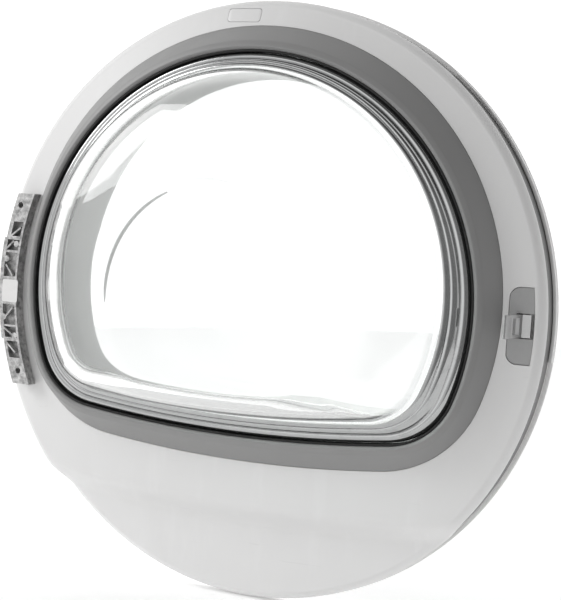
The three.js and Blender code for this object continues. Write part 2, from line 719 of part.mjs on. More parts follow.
piece('hinge_base', hingeBase(), 'cast');
piece('hinge_pin_upper', hingePin(PINS[0]), 'steel');
piece('hinge_pin_lower', hingePin(PINS[1]), 'steel');
piece('hinge_bush_upper', hingeBush(KNUCKLES[0]), 'nylon');
piece('hinge_bush_lower', hingeBush(KNUCKLES[1]), 'nylon');
piece('hinge_arm', hingeArm(), 'steel');
ARM_SCREWS.forEach((place, i) => {
  piece(`hinge_arm_screw_${i + 1}`, screw(place, ARM_Y[1] + GAP, -1, 12), 'steel');
});

piece('rear_frame', rearFrame(), 'pale');
piece('blanking_plug', blankingPlug(), 'pale');
piece('glass_collar', glassCollar(), 'grey');
piece('glass_gasket', glassGasket(), 'black');
piece('glass_bowl', glassBowl(), 'glass');
piece('front_frame', frontFrame(), 'white');
const bands = edgeBands();
piece('edge_band', bands.round, 'band');
piece('edge_band_hinge_side', bands.short, 'band');
piece('front_cover', frontCover(), 'glass');
piece('cover_border', coverBorder(), 'white');
piece('grip_lip', gripLip(), 'pale');
const thin = { head: 3.4, shank: 1.3 };
FRAME_POSTS.forEach((degrees, i) => {
  piece(`frame_screw_${i + 1}`, screw(onCircle(degrees), FLANGE_FRONT_Y - GAP, 1, 12, thin), 'steel');
});
COVER_POSTS.forEach((degrees, i) => {
  piece(`cover_screw_${i + 1}`, screw(onCircle(degrees), FLANGE_BACK_Y + GAP, -1, 8, thin), 'steel');
});

piece('latch_plate', latchPlate(), 'steel');
piece('latch_housing', latchHousing(), 'white');
HOUSING_SCREWS.forEach((place, i) => {
  const body = screw(place, HOUSING.y[0] + HOUSING_FOOT + GAP, -1, 6, { head: 3, shank: 1.4 });
  piece(`latch_housing_screw_${i + 1}`, body, 'steel');
});
piece('latch_pin', latchPin(), 'steel');
piece('latch_spring', latchSpring(), 'steel');
piece('latch_hook', latchHook(), 'steel');

export default door;
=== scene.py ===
"""Looks of a washing machine's porthole door: domed frame, D-shaped glass bowl, cast hinge
and latch hook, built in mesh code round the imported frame. Metres, +Z up, drum side at +Y."""

import json
import math

import bmesh
import bpy
from mathutils import Matrix, Vector


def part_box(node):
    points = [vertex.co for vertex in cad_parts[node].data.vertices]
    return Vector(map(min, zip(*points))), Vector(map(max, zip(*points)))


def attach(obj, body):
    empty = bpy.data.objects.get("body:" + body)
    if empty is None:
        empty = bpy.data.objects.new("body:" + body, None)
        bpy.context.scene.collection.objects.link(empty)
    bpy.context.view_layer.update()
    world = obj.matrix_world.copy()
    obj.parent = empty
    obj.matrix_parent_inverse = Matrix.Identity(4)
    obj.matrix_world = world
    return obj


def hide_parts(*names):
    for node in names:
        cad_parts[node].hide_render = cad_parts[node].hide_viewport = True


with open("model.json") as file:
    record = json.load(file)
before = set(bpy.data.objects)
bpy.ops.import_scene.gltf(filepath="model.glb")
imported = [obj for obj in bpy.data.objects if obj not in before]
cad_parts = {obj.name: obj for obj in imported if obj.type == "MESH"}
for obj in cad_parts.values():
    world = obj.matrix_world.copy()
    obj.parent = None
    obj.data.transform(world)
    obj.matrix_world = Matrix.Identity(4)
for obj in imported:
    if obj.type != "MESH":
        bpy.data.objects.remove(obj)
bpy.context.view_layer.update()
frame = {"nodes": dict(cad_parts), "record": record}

MM = 0.001
DOOR, BASE = "door", "hinge_base"

# ------------------------------------------------------------------ where the door is

COVER_LOW, COVER_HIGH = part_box("front_cover")
FRAME_LOW, FRAME_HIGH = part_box("rear_frame")
BASE_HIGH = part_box("hinge_base")[1]
BASE_BACK = 22.0                    # the hinge's mounting face, from the door's middle plane
CENTRE = Vector((
    (COVER_LOW.x + COVER_HIGH.x) / 2,
    BASE_HIGH.y - BASE_BACK * MM,
    (COVER_LOW.z + COVER_HIGH.z) / 2,
))


def at(x, y, z):
    """A point given in millimetres from the door's centre."""
    return CENTRE + Vector((x, y, z)) * MM


# ------------------------------------------------------- driving sizes, in millimetres

RIM = (FRAME_HIGH.x - FRAME_LOW.x) / 2 / MM
COVER = (COVER_HIGH.x - COVER_LOW.x) / 2 / MM
SKIN = 2.6

FOOT = dict(crown=208.6, crown_z=10.3, corner=89.7, sill=1053, sill_z=-125.7)
LIP = dict(crown=192.2, crown_z=6.5, corner=58.1, sill=1072, sill_z=-104.4)
WINDOW = dict(crown=171.1, crown_z=14.6, corner=46.3, sill=992, sill_z=-87.3)
PLATEAU = dict(crown=104, crown_z=4, corner=58, sill=620, sill_z=-68)

FACE_FOOT, FACE_EDGE_Y, FACE_EDGE = 12.4, 7.4, 233.5
BEAD_BACK = -3.2
CHIN_DROP, CHIN_Z, CHIN_RISE, CHIN_RAMP = 14.4, -162.0, 11.0, 20.0

WALL, WALL_TOP = 233.5, -6.0
FLANGE, FLANGE_BACK, FLANGE_FRONT = 237.4, -21.3, -23.3
BAND, BAND_INNER, BAND_TOP = 238.0, 234.3, -4.2
COVER_BACK, COVER_DEPTH, COVER_THICK = -23.8, 20.0, 3.0
GLASS_SEAT, GLASS_FLANGE, GLASS_RIM, BOWL_DEPTH, GLASS_WALL = 14.8, 5.0, 38.5, 46.0, 5.0
CREASE_HEIGHT, CREASE_WIDTH = 2.4, 1.7
CREASE_INSET = 14                   # from the plateau's edge in to the crease
CREASE_MIDDLE, CREASE_SPREAD = 52, 58  # in degrees: it fades out on both sides of its middle
RIM_STEPS = (                       # share of the rim's width from window to gasket, height
    (1.0, 38.9), (0.93, 38.7), (0.86, 38.0), (0.8, 37.0), (0.775, 36.4), (0.75, 36.5),
    (0.7, 36.7), (0.62, 36.2), (0.54, 34.9), (0.47, 33.0), (0.43, 31.6), (0.405, 31.0),
    (0.38, 31.1), (0.31, 31.3), (0.22, 30.8), (0.13, 29.4), (0.06, 27.2), (0.02, 24.6), (0.0, 20.2),
)
PRINT_INNER = 186.0                 # where the printed border of the cover ends
PRINT_TURN = 70                     # degrees along the cover's curve, where its print starts
BORDER_OUTER, BORDER_THICK = 216.5, 1.6
GRIP_FROM, GRIP_TO = 128, 186       # degrees
GRIP_WIDTH, GRIP_TIP, GRIP_Y = 2.4, 0.5, (-23.5, -19.6)
GAP = 0.3                           # between touching pieces

PIVOT_X, EAR_RADIUS, KNUCKLE_RADIUS = 222.0, 4.5, 6.4
NOTCHES = ((36.8, 52.2), (-65.7, -49.8))
LATCH_X, LATCH_PIVOT_Y = -222.0, -4.0
HOOK_Z = (-6.0, 11.0)
PLATE_INNER, PLATE_OUTER, PLATE_Z, PLATE_CORNER = 213.4, 232.0, (-26.0, 31.0), 8.0
PLATE_GAP, PLATE_SUNK = 0.4, 0.7
PLUG_X, PLUG_Z, PLUG_CORNER, PLUG_GAP = (6, 35), (222, 232.6), 2.5, 0.28
SLOT_X, SLOT_Z, SLOT_CORNER = (212.6, 222), (24.5, 45.5), 1.2
THROUGH_FACE = (-2, 18)             # heights that a cut through the rear frame spans
SPRING_TURNS, SPRING_RADIUS, SPRING_WIRE, SPRING_STEPS = 4.5, 3.3, 0.45, 108
PAD_MARKS = ((207.6, 68.4, 3.0), (217.2, 60, 3.0), (212.8, -69, 2.9), (202.6, -79.2, 3.0))
PAD_MARK_WIDTH = 0.35
LABEL = (212.8, 228.2, -17.5, 1.5)  # its sides in x and in z
LABEL_CORNER = 1.6
POST_CIRCLE, POST_RADIUS, POST_BORE, POST_FOOT = 226.6, 3.6, 1.6, -20.6
FRAME_POSTS = (52, 118, 238, 302)
COVER_POSTS = (30, 90, 150, 210, 270, 330)
ARM_SCREWS = ((203, 30), (205, 8), (205, -18), (201.5, -44))
HOUSING_SCREWS = ((-206.5, -9), (-206.5, 14))

# ------------------------------------------------------------------------ the camera

CAMERA_DISTANCE = 1.2816
CAMERA_YAW, CAMERA_PITCH, CAMERA_ROLL = (math.radians(a) for a in (25.79, 3.83, 3.67))


def add_camera():
    data = bpy.data.cameras.new("camera")
    data.lens, data.sensor_width, data.sensor_fit = 96, 36, "AUTO"
    data.shift_x, data.shift_y = 0.043, 0.0048
    camera = bpy.data.objects.new("camera", data)
    bpy.context.collection.objects.link(camera)
    back = Vector((
        -math.sin(CAMERA_YAW) * math.cos(CAMERA_PITCH),
        math.cos(CAMERA_YAW) * math.cos(CAMERA_PITCH),
        math.sin(CAMERA_PITCH),
    ))
    level = Vector((-math.cos(CAMERA_YAW), -math.sin(CAMERA_YAW), 0))
    upright = back.cross(level)
    right = level * math.cos(CAMERA_ROLL) + upright * math.sin(CAMERA_ROLL)
    above = back.cross(right)
    turn = Matrix((right, above, back)).transposed().to_4x4()
    camera.matrix_world = Matrix.Translation(CENTRE + back * CAMERA_DISTANCE) @ turn
    bpy.context.scene.camera = camera


# ------------------------------------------------------------- outlines of the window

def to_circle(c, s, x, z, radius):
    """Distance from the door's centre to a circle, in the direction (c, s)."""
    along = c * x + s * z
    return along + math.sqrt(along * along - x * x - z * z + radius * radius)


def window_reach(shape, offset, angle):
    """Distance to a window outline moved outward by offset: crown, corners and sill."""
    crown_z = shape["crown_z"]
    crown, corner, sill = (shape[key] + offset for key in ("crown", "corner", "sill"))
    sill_centre = shape["sill_z"] + shape["sill"]
    a, b, drop = crown - corner, sill - corner, sill_centre - crown_z
    corner_z = crown_z + (a * a - b * b + drop * drop) / (2 * drop)
    corner_x = math.sqrt(a * a - (corner_z - crown_z) ** 2)
    c, s = math.cos(angle), math.sin(angle)
    to_crown = to_circle(c, s, 0, crown_z, crown)
    if s * to_crown >= crown_z + (corner_z - crown_z) * crown / a:
        return to_crown
    to_sill = to_circle(c, s, 0, sill_centre, sill)
    if s < 0 and abs(c * to_sill) <= corner_x * sill / b:
        return to_sill
    return to_circle(c, s, math.copysign(corner_x, c), corner_z, corner)


# A section point is a function from the angle round the door to (distance, height).

def on(shape, offset, y):
    return lambda angle: (window_reach(shape, offset, angle), y)


def on_circle(radius, y):
    return lambda angle: (radius, y)


def mix(p, q, share):
    def point(angle):
        (r0, y0), (r1, y1) = p(angle), q(angle)
        return r0 + (r1 - r0) * share, y0 + (y1 - y0) * share
    return point


def soften(section, radius, cuts=3, closed=True):
    """Rounds the corners of a section."""
    probe = math.radians(80)
    made = []
    last = len(section) - 1
    for i, point in enumerate(section):
        if not closed and i in (0, last):
            made.append(point)
            continue
        ends = []
        for other in (section[i - 1], section[(i + 1) % len(section)]):
            (r0, y0), (r1, y1) = point(probe), other(probe)
            length = math.hypot(r1 - r0, y1 - y0) or 1
            ends.append(mix(point, other, min(0.45, radius / length)))
        for k in range(cuts + 1):
            s = k / cuts
            made.append(mix(mix(ends[0], point, s), mix(point, ends[1], s), s))
    return made


# --------------------------------------------------------------------------- meshes

def add_object(name, mesh):
    piece = bpy.data.objects.new(name, mesh)
    bpy.context.collection.objects.link(piece)
    return piece


def sweep(name, section, closed=True, steps=360):
    """A section swept round the door. An open section starts and ends on the axis."""
    mesh = bmesh.new()
    rows = []
    for k, point in enumerate(section):
        if not closed and k in (0, len(section) - 1):
            rows.append([mesh.verts.new(at(0, point(0)[1], 0))])
            continue
        row = []
        for j in range(steps):
            angle = 2 * math.pi * j / steps
            reach, y = point(angle)
            row.append(mesh.verts.new(at(reach * math.cos(angle), y, reach * math.sin(angle))))
        rows.append(row)
    pairs = list(zip(rows, rows[1:] + rows[:1])) if closed else list(zip(rows, rows[1:]))
    for near, far in pairs:
        for j in range(steps):
            n = (j + 1) % steps
            if len(near) == 1:
                mesh.faces.new((near[0], far[j], far[n]))
            elif len(far) == 1:
                mesh.faces.new((near[j], far[0], near[n]))
            else:
                mesh.faces.new((near[j], far[j], far[n], near[n]))
    bmesh.ops.recalc_face_normals(mesh, faces=mesh.faces)
    data = bpy.data.meshes.new(name)
    mesh.to_mesh(data)
    mesh.free()
    return add_object(name, data)


def smooth(piece, degrees=32):
    piece.data.shade_smooth()
    piece.data.set_sharp_from_angle(angle=math.radians(degrees))
    return piece


def prism(name, outline, axis, low, high):
    """A flat outline given depth: axis "y" takes (x, z) points and axis "z" takes (x, y)."""
    mesh = bmesh.new()
    place = (lambda a, b, d: at(a, d, b)) if axis == "y" else (lambda a, b, d: at(a, b, d))
    ends = [[mesh.verts.new(place(a, b, d)) for a, b in outline] for d in (low, high)]
    mesh.faces.new(ends[0])
    mesh.faces.new(ends[1])
    for i in range(len(outline)):
        j = (i + 1) % len(outline)
        mesh.faces.new((ends[0][i], ends[0][j], ends[1][j], ends[1][i]))
    bmesh.ops.recalc_face_normals(mesh, faces=mesh.faces)
    data = bpy.data.meshes.new(name)
    mesh.to_mesh(data)
    mesh.free()
    return add_object(name, data)


def block(name, x, y, z):
    return prism(name, [(x[0], z[0]), (x[1], z[0]), (x[1], z[1]), (x[0], z[1])], "y", *y)


def arc(x, z, radius, start, end, count=10):
    """Points on an arc, in degrees."""
    turns = (math.radians(start + (end - start) * i / count) for i in range(count + 1))
    return [(x + radius * math.cos(t), z + radius * math.sin(t)) for t in turns]


def rounded_rectangle(x0, x1, z0, z1, radius):
    return (
        arc(x1 - radius, z0 + radius, radius, -90, 0, 6)
        + arc(x1 - radius, z1 - radius, radius, 0, 90, 6)
        + arc(x0 + radius, z1 - radius, radius, 90, 180, 6)
        + arc(x0 + radius, z0 + radius, radius, 180, 270, 6)
    )


def disc(x, z, radius, y, count=32):
    return prism("disc", arc(x, z, radius, 0, 360 * (count - 1) / count, count - 1), "y", *y)


def apply_modifiers(piece):
    bpy.context.view_layer.update()
    shaped = piece.evaluated_get(bpy.context.evaluated_depsgraph_get())
    data = bpy.data.meshes.new_from_object(shaped)
    piece.modifiers.clear()
    piece.data = data


def combine(piece, tools, operation="DIFFERENCE"):
    """Cuts tools from a piece, or joins them to it, and removes the tools."""
    for tool in tools:
        step = piece.modifiers.new("combine", "BOOLEAN")
        step.operation, step.object, step.solver = operation, tool, "EXACT"
    apply_modifiers(piece)
    for tool in tools:
        bpy.data.objects.remove(tool)
    return piece


def bevel(piece, width, segments=2, degrees=35):
    step = piece.modifiers.new("bevel", "BEVEL")
    step.width, step.segments, step.limit_method = width * MM, segments, "ANGLE"
    step.angle_limit = math.radians(degrees)
    step.harden_normals = False
    return piece


def join(name, pieces):
    mesh = bmesh.new()
    for piece in pieces:
        mesh.from_mesh(piece.data)
        bpy.data.objects.remove(piece)
    data = bpy.data.meshes.new(name)
    mesh.to_mesh(data)
    mesh.free()
    return add_object(name, data)


# -------------------------------------------------------------------------- finishes

class Value:
    """A shader socket that takes part in Python expressions."""

    def __init__(self, finish, socket):
        self.finish, self.socket = finish, socket

    def maths(self, operation, *values):
        return self.finish.node("ShaderNodeMath", {"operation": operation}, values)

    def __add__(self, other):
        return self.maths("ADD", self, other)

    __radd__ = __add__

    def __sub__(self, other):
        return self.maths("SUBTRACT", self, other)

    def __rsub__(self, other):
        return self.maths("SUBTRACT", other, self)

    def __mul__(self, other):
        return self.maths("MULTIPLY", self, other)

    __rmul__ = __mul__

    def above(self, level, width):
        """0 well below level, 1 well above it."""
        return self.finish.node("ShaderNodeMapRange", {"interpolation_type": "SMOOTHSTEP"}, {
            "Value": self, "From Min": level - width / 2, "From Max": level + width / 2})


class Nodes:
    """A node tree that is written as expressions."""

    def __init__(self, tree):
        self.tree = tree

    def node(self, kind, settings=None, inputs=None, output=0):
        """Adds a node: its settings first, then the values or links of its sockets."""
        made = self.tree.nodes.new(kind)
        for key, value in (settings or {}).items():
            if key == "stops":
                for stop, (place, shade) in zip(made.color_ramp.elements, value):
                    stop.position, stop.color = place, (shade, shade, shade, 1)
            else:
                setattr(made, key, value)
        pairs = inputs.items() if isinstance(inputs, dict) else enumerate(inputs or ())
        for key, value in pairs:
            if isinstance(value, Value):
                self.tree.links.new(value.socket, made.inputs[key])
            else:
                made.inputs[key].default_value = value
        return Value(self, made.outputs[output])

    def blend(self, share, low, high):
        """A colour between low and high."""
        return self.node("ShaderNodeMix", {"data_type": "RGBA"}, {
            0: share, 6: low, 7: high}, output=2)


class Finish(Nodes):
    """One material: a Principled shader and the nodes that feed it."""

    def __init__(self, name, roughness=0.5, metallic=0.0, **fixed):
        self.material = bpy.data.materials.new(name)
        self.material.use_nodes = True
        super().__init__(self.material.node_tree)
        self.shader = self.tree.nodes["Principled BSDF"]
        self.set("Roughness", roughness)
        self.set("Metallic", metallic)
        for key, value in fixed.items():
            self.set(key.replace("_", " "), value)
        self.place = self.node("ShaderNodeTexCoord", output="Object")

    def set(self, name, value):
        socket = self.shader.inputs[name]
        if isinstance(value, Value):
            self.tree.links.new(value.socket, socket)
        else:
            socket.default_value = value

    def noise(self, size, detail=3.0, stretch=None, roughness=0.55):
        """Noise whose blobs are about size millimetres across."""
        place = self.place
        if stretch:
            place = self.node("ShaderNodeVectorMath", {"operation": "MULTIPLY"}, (place, stretch))
        return self.node("ShaderNodeTexNoise", None, {
            "Vector": place, "Scale": 1 / (size * MM), "Detail": detail, "Roughness": roughness})

    def cells(self, size):
        return self.node("ShaderNodeTexVoronoi", None, {
            "Vector": self.place, "Scale": 1 / (size * MM)})

    def bump(self, height, distance, strength=1.0, under=None):
        inputs = {"Height": height, "Distance": distance * MM, "Strength": strength}
        if under is not None:
            inputs["Normal"] = under
        return self.node("ShaderNodeBump", None, inputs)

    def edge_wear_and_highlight(self, radius):
        """1 along the piece's sharp edges, 0 on its flats: a mask for rubbed edges and for a painted
        highlight along them.
        """
        rounded = self.node("ShaderNodeBevel", {"samples": 4}, {"Radius": radius * MM})
        flat = self.node("ShaderNodeNewGeometry", output="Normal")
        match = self.node("ShaderNodeVectorMath", {"operation": "DOT_PRODUCT"}, (rounded, flat), "Value")
        return (1 - match).above(0.06, 0.08)


def grey(level, warm=0.0):
    return (level * (1 + warm), level, level * (1 - warm), 1)


def moulded(name, shade, roughness, grain=0.55, depth=0.035, warm=0.004, spread=0.05):
    """Moulded plastic: spark-eroded grain, slow changes of tone and a few rubbed patches."""
    finish = Finish(name, IOR=1.46)
    slow = finish.noise(95, 3)
    grainy = finish.noise(grain, 2)
    rubbed = finish.noise(28, 5, roughness=0.62).above(0.58, 0.16)
    tone = slow * 0.75 + grainy * 0.25
    finish.set("Base Color", finish.blend(
        tone, grey(shade * (1 - spread), warm), grey(shade * (1 + spread), warm)))
    finish.set("Roughness", roughness + grainy * 0.08 - rubbed * 0.07)
    finish.set("Normal", finish.bump(grainy, depth))
    return finish.material


def rear_frame_finish():
    """The pale frame: grain, faint flow marks and fine handling scratches."""
    finish = Finish("frame_plastic", IOR=1.47)
    slow = finish.noise(120, 3)
    cloud = finish.noise(34, 4)
    grainy = finish.noise(0.6, 2)
    flow = finish.noise(16, 3, (1, 1, 0.18)).above(0.62, 0.2)
    scratch = finish.noise(2.2, 2, (0.05, 1, 1)).above(0.74, 0.04)
    tone = slow * 0.6 + cloud * 0.25 + grainy * 0.15
    base = finish.blend(tone, grey(0.66, 0.003), grey(0.73, 0.003))
    base = finish.blend(flow * 0.25, base, grey(0.76))
    finish.set("Base Color", finish.blend(scratch * 0.18, base, grey(0.56)))
    finish.set("Roughness", 0.40 + grainy * 0.08 + cloud * 0.05 + scratch * 0.12)
    finish.set("Normal", finish.bump(grainy, 0.03, under=finish.bump(scratch, -0.01)))
    return finish.material


def rubber_finish():
    finish = Finish("gasket_rubber", IOR=1.5)
    dust = finish.noise(7, 5).above(0.6, 0.2)
    fine = finish.noise(0.5, 2)
    finish.set("Base Color", finish.blend(dust, grey(0.006), grey(0.018)))
    finish.set("Roughness", 0.62 + fine * 0.18)
    finish.set("Normal", finish.bump(fine, 0.05))
    return finish.material


def glass_finish(name, tint, wave, ior):
    """Clear glass or acrylic with a faint waviness and a thin film of dust. Lamps shine through."""
    finish = Finish(name, roughness=0.0, IOR=ior, Transmission_Weight=1.0)
    ripple = finish.noise(42, 2)
    film = finish.noise(18, 5).above(0.6, 0.3)
    finish.set("Base Color", finish.blend(film, tint, tuple(c * 0.985 for c in tint[:3]) + (1,)))
    finish.set("Roughness", film * 0.012)
    finish.set("Normal", finish.bump(ripple, wave))
    clear = finish.node("ShaderNodeBsdfTransparent", None, {"Color": (0.93, 0.95, 0.94, 1)})
    lamp = finish.node("ShaderNodeLightPath", output="Is Shadow Ray")
    body = Value(finish, finish.shader.outputs[0])
    mixed = finish.node("ShaderNodeMixShader", None, (lamp, body, clear))
    finish.tree.links.new(mixed.socket, finish.tree.nodes["Material Output"].inputs["Surface"])
    return finish.material


def rim_finish():
    """The mirror-bright look of a thick glass edge, with faint draw lines and dust."""
    finish = Finish("rim_glass", metallic=0.92, IOR=1.5)
    draw = finish.noise(60, 2)
    dust = finish.noise(9, 5).above(0.62, 0.2)
    finish.set("Base Color", finish.blend(dust, (0.45, 0.455, 0.455, 1), (0.41, 0.415, 0.415, 1)))
    finish.set("Roughness", 0.09 + dust * 0.06)
    finish.set("Normal", finish.bump(draw, 0.12))
    return finish.material


def cast_finish():
    """Die-cast metal: cold-flow mottling, matt pits, and rubbed edges that are more metallic and smoother
    and carry a painted highlight in their colour.
    """
    finish = Finish("cast_metal", IOR=2.2)
    mottle = finish.noise(5.5, 6, roughness=0.68)
    pits = finish.cells(1.1).above(0.16, 0.2)
    grainy = finish.noise(0.35, 3)
    edge = finish.edge_wear_and_highlight(0.5)
    base = finish.blend(mottle.above(0.5, 0.34), grey(0.20, 0.004), grey(0.60, 0.006))
    # Painted highlight: the colour turns lighter along the sharp edges.
    base = finish.blend(edge * 0.55, base, grey(0.88))
    finish.set("Base Color", base)
    finish.set("Metallic", 0.62 + edge * 0.2)
    finish.set("Roughness", 0.58 - mottle * 0.16 + grainy * 0.12 - edge * 0.12)
    finish.set("Normal", finish.bump(pits, 0.06, 0.6, finish.bump(grainy, 0.05)))
    return finish.material


def grained_steel(name, shade, roughness, spread=0.14, metallic=0.85):
    """Matt sheet metal with a fine directionless grain and a few dull spots."""
    finish = Finish(name)
    fine = finish.noise(0.5, 4)
    spots = finish.noise(4.5, 5)
    edge = finish.edge_wear_and_highlight(0.3)
    tone = fine * 0.6 + spots * 0.4
    base = finish.blend(tone, grey(shade * (1 - spread)), grey(shade * (1 + spread)))
    # Painted highlight: the colour turns lighter along the sharp edges, which are also more metallic and
    # smoother.
    finish.set("Base Color", finish.blend(edge * 0.5, base, grey(min(0.9, shade * 1.7))))
    finish.set("Metallic", metallic + edge * 0.1)
    finish.set("Roughness", roughness + fine * 0.12 - edge * 0.1)
    finish.set("Normal", finish.bump(fine, 0.03))
    return finish.material


def turned_steel(name, shade, roughness):
    """Bright pins, screws and springs with lines drawn along Z."""
    finish = Finish(name, metallic=1.0)
    lines = finish.noise(0.6, 3, (1, 1, 0.08))
    stain = finish.noise(3, 4)
    finish.set("Base Color", finish.blend(stain, grey(shade * 0.85), grey(shade)))
    finish.set("Roughness", roughness + lines * 0.14 + stain * 0.05)
    finish.set("Normal", finish.bump(lines, 0.012))
    return finish.material


def label_finish():
    """A blank paper label."""
    finish = Finish("blank_label", roughness=0.55)
    fibre = finish.noise(0.4, 4)
    tone = finish.noise(6, 3)
    finish.set("Base Color", finish.blend(tone * 0.6 + fibre * 0.4, grey(0.68, 0.01), grey(0.82, 0.006)))
    finish.set("Roughness", 0.5 + fibre * 0.15)
    finish.set("Normal", finish.bump(fibre, 0.02))
    return finish.material


def floor_finish():
    """A white light table."""
    finish = Finish("floor", roughness=0.7, Emission_Color=(1, 1, 1, 1), Emission_Strength=0.26)
    finish.set("Base Color", finish.blend(finish.noise(400, 2), grey(0.91), grey(0.93)))
    return finish.material


FINISHES = {}
BACKGROUND = 1.2


def make_finishes():
    FINISHES.update({
        "frame_plastic": rear_frame_finish(),
        "collar_plastic": moulded("collar_plastic", 0.245, 0.36, spread=0.06),
        "gasket_rubber": rubber_finish(),
        "bowl_glass": glass_finish("bowl_glass", (0.985, 0.995, 0.99, 1), 0.04, 1.5),
        "inner_plastic": moulded("inner_plastic", 0.95, 0.42, spread=0.03),
        "band_plastic": moulded("band_plastic", 0.15, 0.38),
        "rim_glass": rim_finish(),
        "cover_clear": glass_finish("cover_clear", (0.99, 0.995, 0.995, 1), 0.0, 1.4),
        "border_plastic": moulded("border_plastic", 0.84, 0.28, depth=0.01),
        "grip_plastic": moulded("grip_plastic", 0.74, 0.3, depth=0.015),
        "cast_metal": cast_finish(),
        "plate_steel": grained_steel("plate_steel", 0.36, 0.5, metallic=0.35),
        "hook_metal": grained_steel("hook_metal", 0.5, 0.3, 0.26),
        "arm_steel": grained_steel("arm_steel", 0.05, 0.45, metallic=0.2),
        "pin_steel": turned_steel("pin_steel", 0.62, 0.25),
        "screw_steel": turned_steel("screw_steel", 0.55, 0.3),
        "spring_steel": turned_steel("spring_steel", 0.45, 0.3),
        "nylon": moulded("nylon", 0.80, 0.4, warm=0.02),
        "label": label_finish(),
    })


def dress(piece, finish):
    piece.data.materials.clear()
    piece.data.materials.append(FINISHES[finish])


def install(piece, body, finish, *nodes, slot=None):
    """Gives a piece its finish, lets it move with a body and hides the nodes it stands for."""
    dress(piece, finish)
    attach(piece, body)
    if nodes:
        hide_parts(*nodes)
    slot or finish


# ------------------------------------------------------------------------ rear frame

def chin_share(x, z):
    line = CHIN_Z + CHIN_RISE * (x / 180) ** 2
    share = min(1.0, max(0.0, (line - z) / CHIN_RAMP))
    return share * share * (3 - 2 * share)


def chin_at(distance, angle):
    return chin_share(distance * math.cos(angle), distance * math.sin(angle))


def face_point(share, below):
    def point(angle):
        foot = window_reach(FOOT, 0.12, angle)
        reach = foot + (FACE_EDGE - foot) * share
        y = FACE_FOOT + (FACE_EDGE_Y - FACE_FOOT) * share - below
        return reach, y - CHIN_DROP * chin_at(reach, angle)
    return point


def bead_point(radius, y):
    return lambda angle: (radius, y - CHIN_DROP * chin_at(radius, angle))


def frame_skin(name, sunk=0.0):
    """The domed ring with its rolled bead and stepped chin."""
    shares = [0.004] + [i / 26 for i in range(1, 26)]
    face = [face_point(0, sunk + 0.5)] + [face_point(share, sunk) for share in shares]
    bead = []
    for i in range(13):
        turn = math.radians(90 * i / 12)
        radius = FACE_EDGE + (RIM - FACE_EDGE) * math.sin(turn) ** 1.25
        bead.append(bead_point(radius, FACE_EDGE_Y * max(0, math.cos(turn)) ** 1.25 - sunk))
    back = [
        bead_point(RIM - 0.2, -1.6 - sunk),
        bead_point(RIM - 0.9, BEAD_BACK + 0.3 - sunk),
        bead_point(RIM - 1.6, BEAD_BACK - sunk),
        bead_point(RIM - 3.4, BEAD_BACK - sunk),
        bead_point(RIM - 4.2, BEAD_BACK + 3.4 - sunk),
        bead_point(FACE_EDGE - 1, FACE_EDGE_Y - SKIN - sunk),
    ]
    under = [face_point(i / 16, SKIN + sunk) for i in range(15, -1, -1)]
    return sweep(name, face + bead + back + under)


def plug_outline(grow):
    (x0, x1), (z0, z1) = PLUG_X, PLUG_Z
    return rounded_rectangle(x0 - grow, x1 + grow, z0 - grow, z1 + grow, PLUG_CORNER)


def plate_outline(grow):
    x0 = -PLATE_INNER + grow
    z0, z1 = PLATE_Z[0] - grow, PLATE_Z[1] + grow
    radius = PLATE_OUTER + grow
    start, end = (180 - math.degrees(math.asin(z / radius)) for z in (z1, z0))
    return (
        arc(x0 - PLATE_CORNER, z0 + PLATE_CORNER, PLATE_CORNER, -90, 0)
        + arc(x0 - PLATE_CORNER, z1 - PLATE_CORNER, PLATE_CORNER, 0, 90)
        + arc(0, 0, radius, start, end, 16)
    )


def post_places(turns):
    angles = (math.radians(turn) for turn in turns)
    return [(POST_CIRCLE * math.cos(a), POST_CIRCLE * math.sin(a)) for a in angles]


def face_height(x, z):
    foot = window_reach(FOOT, 0.4, math.atan2(z, x))
    share = (math.hypot(x, z) - foot) / (FACE_EDGE - foot)
    return FACE_FOOT + (FACE_EDGE_Y - FACE_FOOT) * share - CHIN_DROP * chin_share(x, z)


def build_rear_frame():
    skin = frame_skin("rear_frame_shell")
    ear_side = PIVOT_X - EAR_RADIUS - 0.9
    cutters = [
        prism("cut", outline, "y", *THROUGH_FACE)
        for outline in (
            plug_outline(PLUG_GAP),
            plate_outline(PLATE_GAP),
            rounded_rectangle(*SLOT_X, *SLOT_Z, SLOT_CORNER),
        )
    ]
    cutters += [block("cut", (ear_side, RIM + 5), (-8, 18), span) for span in NOTCHES]
    combine(skin, cutters)
    posts = [
        disc(x, z, POST_RADIUS, (POST_FOOT, face_height(x, z) - SKIN / 2), 20)
        for x, z in post_places(FRAME_POSTS)
    ]
    combine(skin, posts, "UNION")
    install(smooth(skin, 40), DOOR, "frame_plastic", "rear_frame")

    patch = prism("cut", plug_outline(0), "y", *THROUGH_FACE)
    plug = combine(frame_skin("top_blanking_patch"), [patch], "INTERSECT")
    bevel(plug, 0.35, 2)
    apply_modifiers(plug)
    install(smooth(plug, 40), DOOR, "frame_plastic", "blanking_plug")


# ------------------------------------------------------------ collar, gasket and glass

def build_collar():
    section = [
        on(FOOT, 0, 9.4), on(FOOT, 0, 13.1), on(LIP, 7, 28.3), on(LIP, 2.6, 30.9), on(LIP, 0, 29.6),
        on(LIP, 0, 27.2), on(LIP, 6, 25), on(FOOT, -4.5, 10.5), on(FOOT, -4.5, 6), on(FOOT, 3.4, 6),
        on(FOOT, 3.4, 8),
    ]
    collar = sweep("window_collar", soften(section, 1.1, 4))
    install(smooth(collar, 50), DOOR, "collar_plastic", "glass_collar")


def build_gasket():
    section = [on(LIP, 2.8, 20.3), on(LIP, 2.8, 24.2), on(LIP, -0.1, 26.6), on(LIP, -0.1, 29.5),
               on(LIP, -1.9, 29.5), on(LIP, -1.9, 20.5)]
    gasket = sweep("window_gasket", soften(section, 0.6, 4))
    install(smooth(gasket, 50), DOOR, "gasket_rubber", "glass_gasket")


